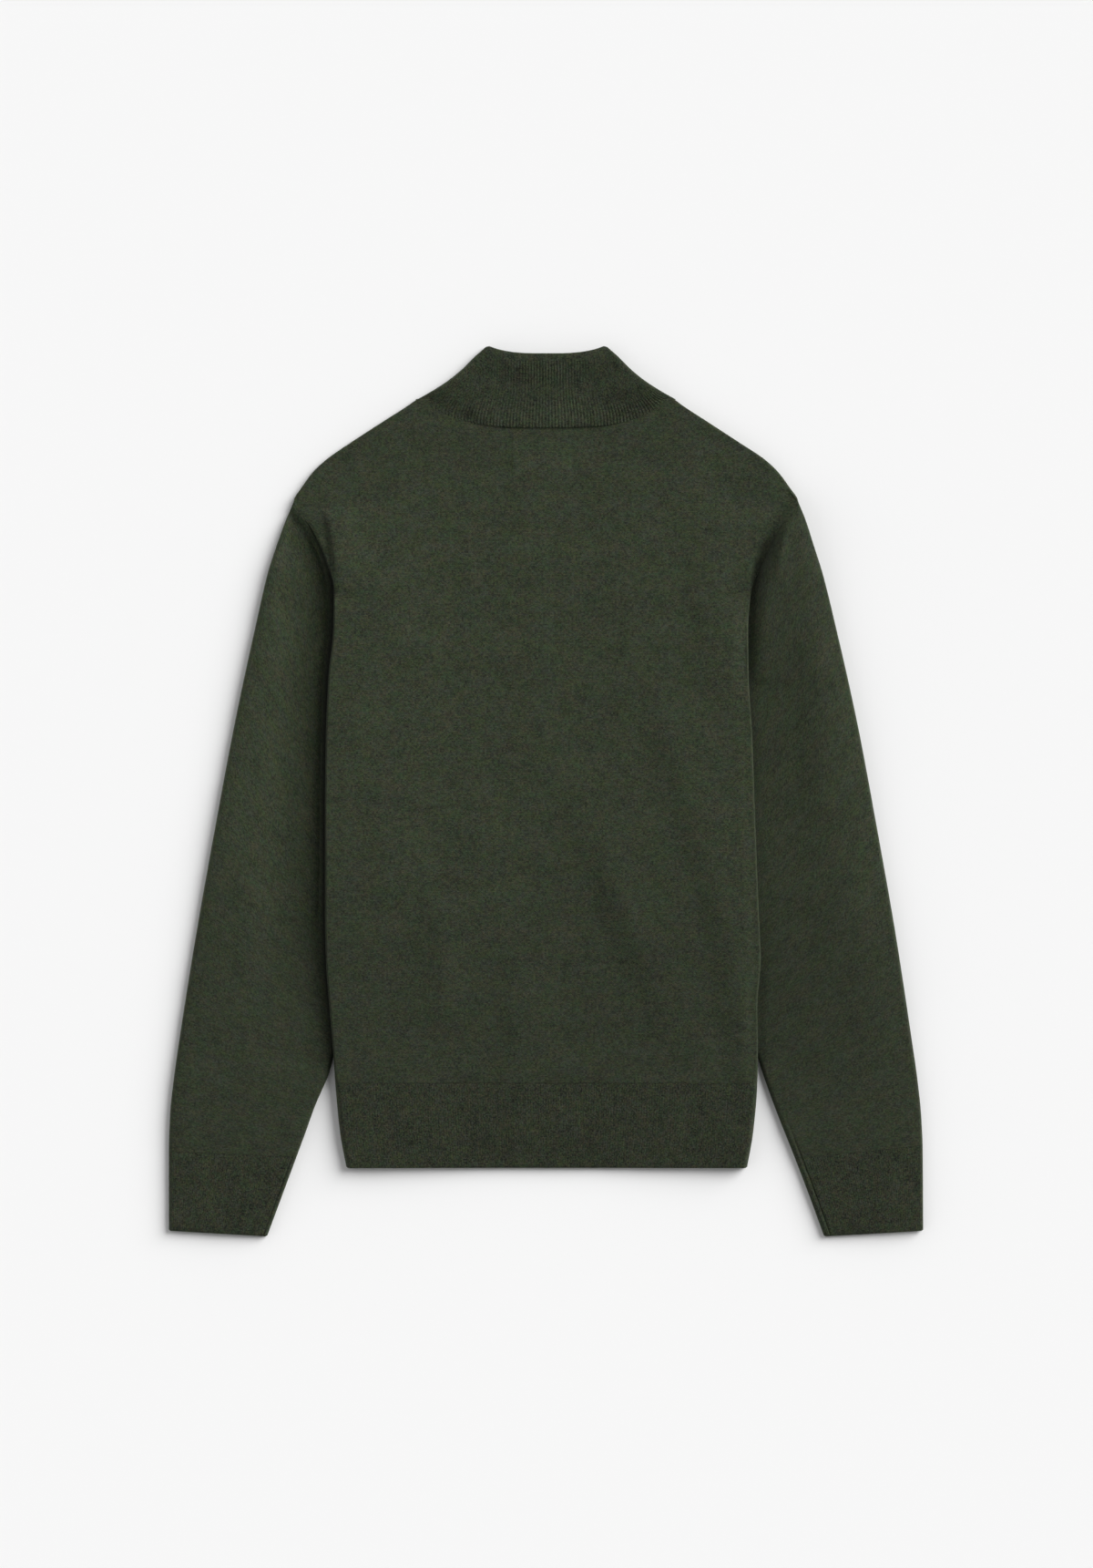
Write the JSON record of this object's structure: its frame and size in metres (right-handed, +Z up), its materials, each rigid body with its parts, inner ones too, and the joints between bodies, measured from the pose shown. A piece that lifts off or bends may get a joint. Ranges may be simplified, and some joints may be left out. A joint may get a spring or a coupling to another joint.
{
  "type": "quarter zip sweater",
  "caption": "Fine knit quarter zip sweater laid flat on its front, back up: ribbed stand collar, long sleeves tucked under the body sides, ribbed cuffs and hem.",
  "frame": {"origin": "middle of the outline, on the surface that the sweater lies on", "axes": "+Z up, away from the surface and out of the back; +Y towards the collar; +X towards the sleeve on the right as seen from above"},
  "size_m": [0.6632, 0.7821, 0.013],
  "materials": {
    "green_knit": "heathered fine jersey knit",
    "green_rib": "heathered one by one rib knit",
    "zip_tape": "woven tape",
    "zip_metal": "dark plated"
  },
  "bodies": {
    "garment": {"back_panel": "green_knit", "front_panel": "green_knit", "front_side_left": "green_knit", "front_side_right": "green_knit", "sleeve_left": "green_knit", "sleeve_right": "green_knit", "hem_back": "green_rib", "hem_front": "green_rib", "cuff_left": "green_rib", "cuff_right": "green_rib", "collar": "green_rib", "zip_tape_left": "zip_tape", "zip_tape_right": "zip_tape", "zip_slider": "zip_metal"},
    "pull_tab": {"pull_tab": "zip_metal"}
  },
  "joints": [
    {"name": "pull_tab_hinge", "type": "hinge", "parent": "garment", "child": "pull_tab", "pos_m": [0, 0.291, 0.00085], "axis": [1, 0, 0], "range_deg": [0, 170]}
  ]
}
